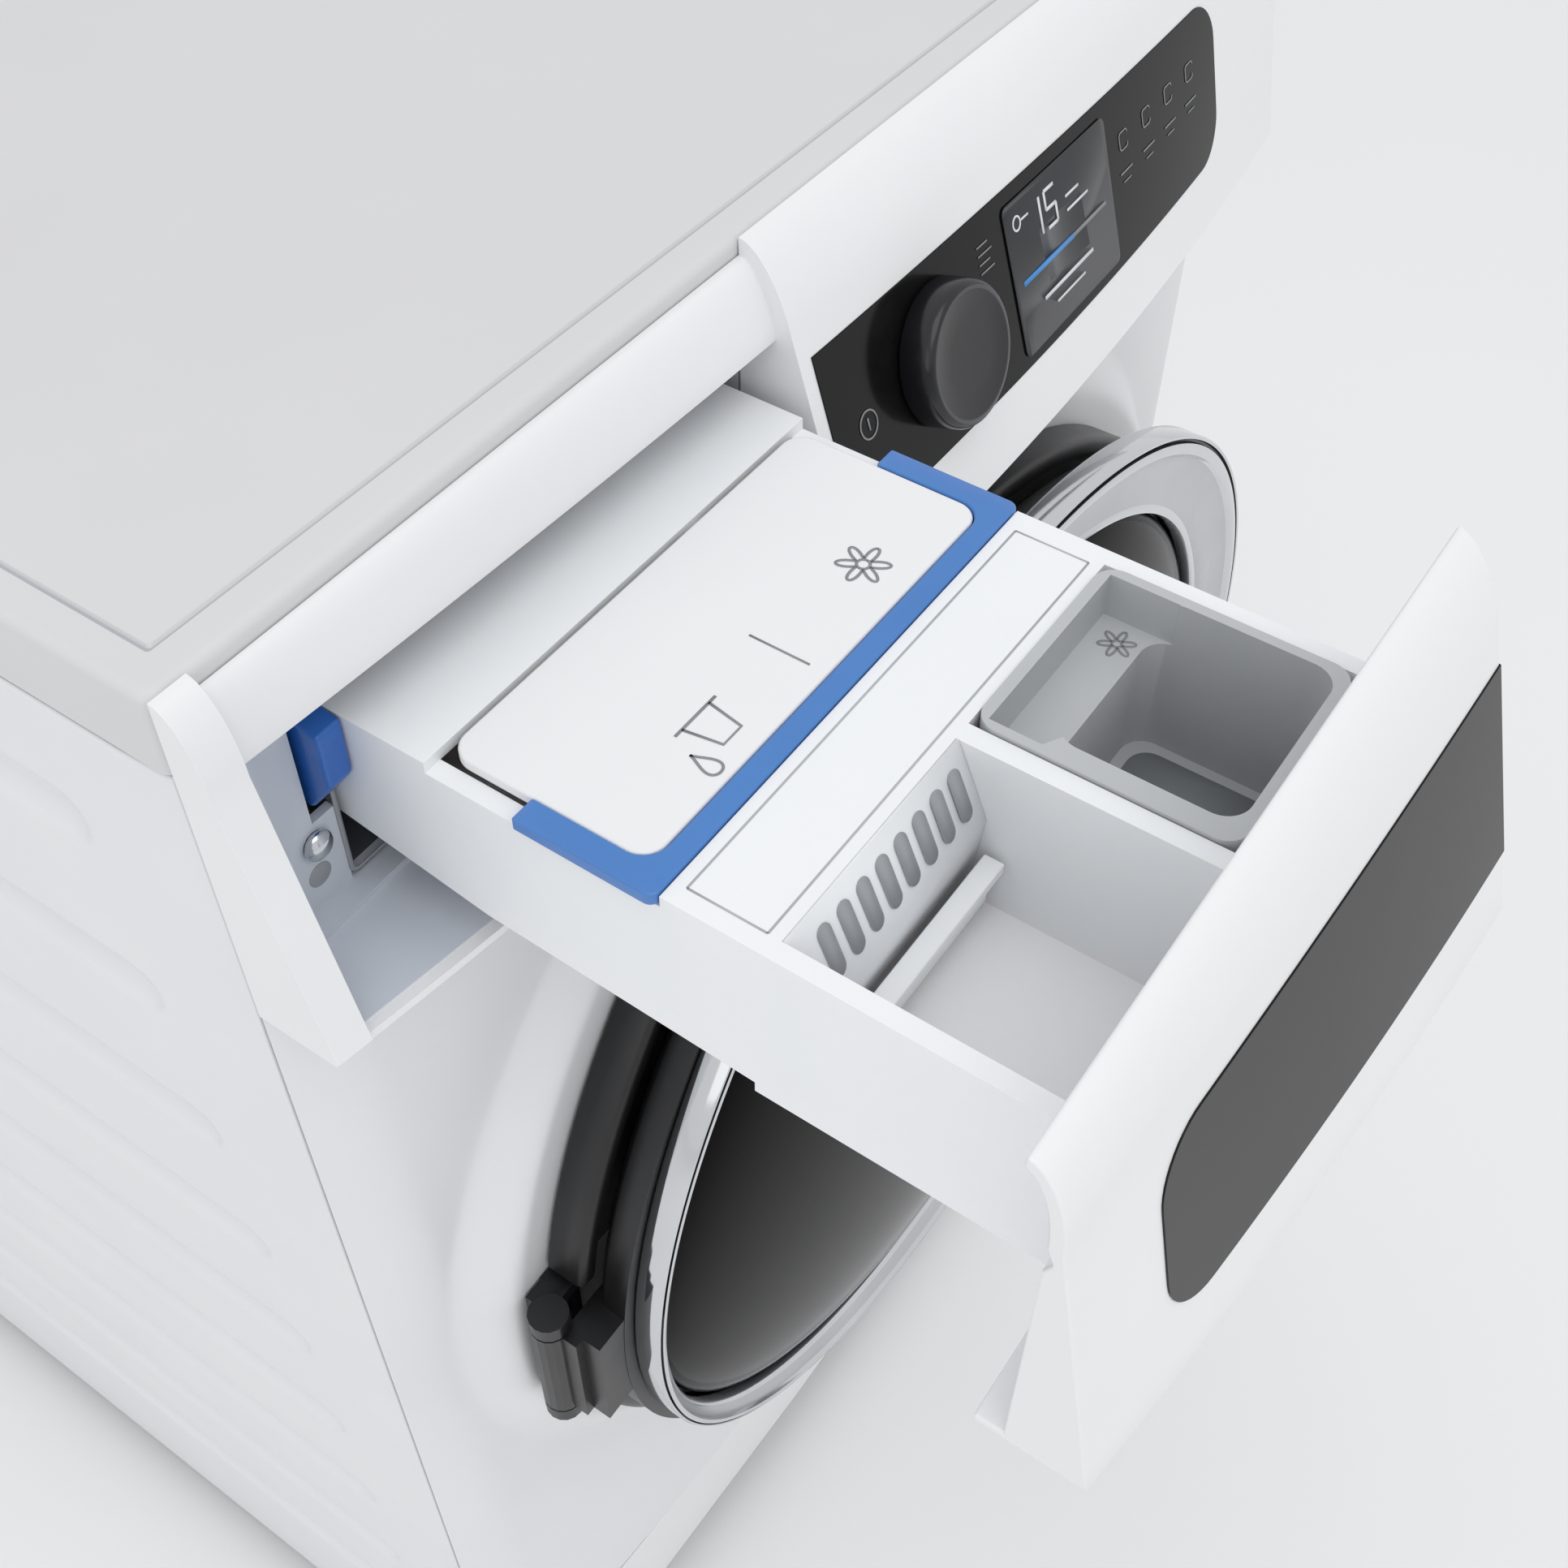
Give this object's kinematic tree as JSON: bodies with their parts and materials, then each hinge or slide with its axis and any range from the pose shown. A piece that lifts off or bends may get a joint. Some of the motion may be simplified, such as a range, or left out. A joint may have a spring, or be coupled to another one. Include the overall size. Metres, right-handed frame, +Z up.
{
  "type": "front load washing machine",
  "caption": "Free-standing front load washing machine with a bowed control fascia, its dispenser drawer pulled out and a round left-hinged door.",
  "frame": {"origin": "on the floor, under the middle of the whole machine with its drawer out", "axes": "+X to the right of someone facing the front, +Y towards the back, +Z up"},
  "size_m": [0.596, 0.8436, 0.85],
  "materials": {
    "white_enamel": "gloss powder enamel",
    "white_plastic": "satin moulded",
    "worktop_board": "white laminate on board",
    "zinc_sheet": "galvanised",
    "black_plastic": "moulded",
    "black_gloss": "high gloss black band",
    "grey_plastic": "moulded",
    "tub_plastic": "filled polypropylene",
    "blue_plastic": "moulded",
    "bay_plastic": "moulded",
    "steel": "stainless",
    "rim_chrome": "metallised plastic",
    "smoked_lens": "smoked, polished",
    "clear_glass": "pressed glass",
    "gasket_rubber": "moulded grey rubber",
    "black_rubber": "moulded",
    "cast_metal": "die cast",
    "motor_metal": "plain",
    "ballast": "cast concrete"
  },
  "bodies": {
    "cabinet": {"worktop": "worktop_board", "side_panel_left": "white_enamel", "side_panel_right": "white_enamel", "front_panel": "white_enamel", "back_panel": "white_enamel", "service_cover": "white_enamel", "base_tray": "zinc_sheet", "kick_plate": "white_plastic", "control_fascia": "white_plastic", "control_glass": "black_gloss", "control_module": "black_plastic", "drawer_housing": "bay_plastic", "steel_stud": "steel", "door_surround": "black_plastic", "hinge_bracket": "black_plastic", "door_lock": "black_plastic", "door_gasket": "gasket_rubber", "tub_front": "tub_plastic", "tub_rear": "tub_plastic", "drive_belt": "black_rubber", "motor": "motor_metal", "counterweight": "ballast", "hanging_spring_left": "steel", "hanging_spring_right": "steel", "damper_left": "black_plastic", "damper_right": "black_plastic", "heater": "steel", "drain_pump": "white_plastic", "sump_hose": "black_rubber", "fill_hose": "black_rubber", "inlet_valve": "white_plastic", "inlet_hose": "black_rubber", "mains_gland": "black_plastic"},
    "drawer": {"drawer_tray": "white_plastic", "drawer_front": "white_plastic", "drawer_glass": "black_gloss", "dosing_frame": "blue_plastic", "softener_insert": "grey_plastic"},
    "dosing_lid": {"dosing_lid": "white_plastic"},
    "powder_flap": {"powder_flap": "white_plastic"},
    "release_lever": {"release_lever": "blue_plastic"},
    "program_knob": {"program_knob": "black_gloss"},
    "drum": {"drum": "steel", "drum_lifter_1": "tub_plastic", "drum_lifter_2": "tub_plastic", "drum_lifter_3": "tub_plastic", "drum_spider": "cast_metal", "drum_pulley": "cast_metal"},
    "motor_pulley": {"motor_pulley": "steel"},
    "door": {"door_carrier": "black_plastic", "door_rim": "rim_chrome", "door_glass": "smoked_lens", "door_bowl": "clear_glass"},
    "door_hook": {"door_hook": "steel"},
    "filter_flap": {"filter_flap": "white_plastic"},
    "filter_cap": {"filter_cap": "grey_plastic"},
    "levelling_foot_1": {"levelling_foot_1": "black_plastic"},
    "levelling_foot_2": {"levelling_foot_2": "black_plastic"},
    "levelling_foot_3": {"levelling_foot_3": "black_plastic"},
    "levelling_foot_4": {"levelling_foot_4": "black_plastic"}
  },
  "joints": [
    {"name": "drawer_slide", "type": "slide", "parent": "cabinet", "child": "drawer", "axis": [0, -1, 0], "range_m": [-0.222, 0]},
    {"name": "dosing_lid_hinge", "type": "hinge", "parent": "drawer", "child": "dosing_lid", "pos_m": [-0.159, -0.18019, 0.8006], "axis": [-1, 0, 0], "range_deg": [0, 95]},
    {"name": "powder_flap_hinge", "type": "hinge", "parent": "drawer", "child": "powder_flap", "pos_m": [-0.2, -0.30099, 0.762], "axis": [-1, 0, 0], "range_deg": [0, 60]},
    {"name": "release_lever_hinge", "type": "hinge", "parent": "drawer", "child": "release_lever", "pos_m": [-0.251, -0.12419, 0.788], "axis": [1, 0, 0], "range_deg": [0, 10], "stiffness_Nm_per_rad": 0.6},
    {"name": "knob_turn", "type": "hinge", "parent": "cabinet", "child": "program_knob", "pos_m": [0.002, -0.18332, 0.783], "axis": [0, -0.9506, 0.3104], "continuous": true},
    {"name": "drum_spin", "type": "hinge", "parent": "cabinet", "child": "drum", "pos_m": [0, 0.09981, 0.46], "axis": [0, 1, 0], "continuous": true},
    {"name": "motor_spin", "type": "hinge", "parent": "cabinet", "child": "motor_pulley", "pos_m": [0.09, 0.24981, 0.108], "axis": [0, 1, 0], "continuous": true},
    {"name": "door_hinge", "type": "hinge", "parent": "cabinet", "child": "door", "pos_m": [-0.251, -0.19019, 0.466], "axis": [0, 0, -1], "range_deg": [0, 140]},
    {"name": "door_hook_pivot", "type": "hinge", "parent": "door", "child": "door_hook", "pos_m": [0.184, -0.20219, 0.466], "axis": [1, 0, 0], "range_deg": [0, 8], "stiffness_Nm_per_rad": 0.4},
    {"name": "filter_flap_hinge", "type": "hinge", "parent": "cabinet", "child": "filter_flap", "pos_m": [0.206, -0.17079, 0.03], "axis": [1, 0, 0], "range_deg": [0, 95]},
    {"name": "filter_cap_turn", "type": "hinge", "parent": "cabinet", "child": "filter_cap", "pos_m": [0.206, -0.15019, 0.066], "axis": [0, -1, 0], "range_deg": [0, 170]},
    {"name": "foot_screw_1", "type": "slide", "parent": "cabinet", "child": "levelling_foot_1", "axis": [0, 0, -1], "range_m": [0, 0.012]},
    {"name": "foot_screw_2", "type": "slide", "parent": "cabinet", "child": "levelling_foot_2", "axis": [0, 0, -1], "range_m": [0, 0.012]},
    {"name": "foot_screw_3", "type": "slide", "parent": "cabinet", "child": "levelling_foot_3", "axis": [0, 0, -1], "range_m": [0, 0.012]},
    {"name": "foot_screw_4", "type": "slide", "parent": "cabinet", "child": "levelling_foot_4", "axis": [0, 0, -1], "range_m": [0, 0.012]}
  ],
  "couplings": [
    {"joint": "motor_spin", "follows": "drum_spin", "ratio": 12.727}
  ]
}
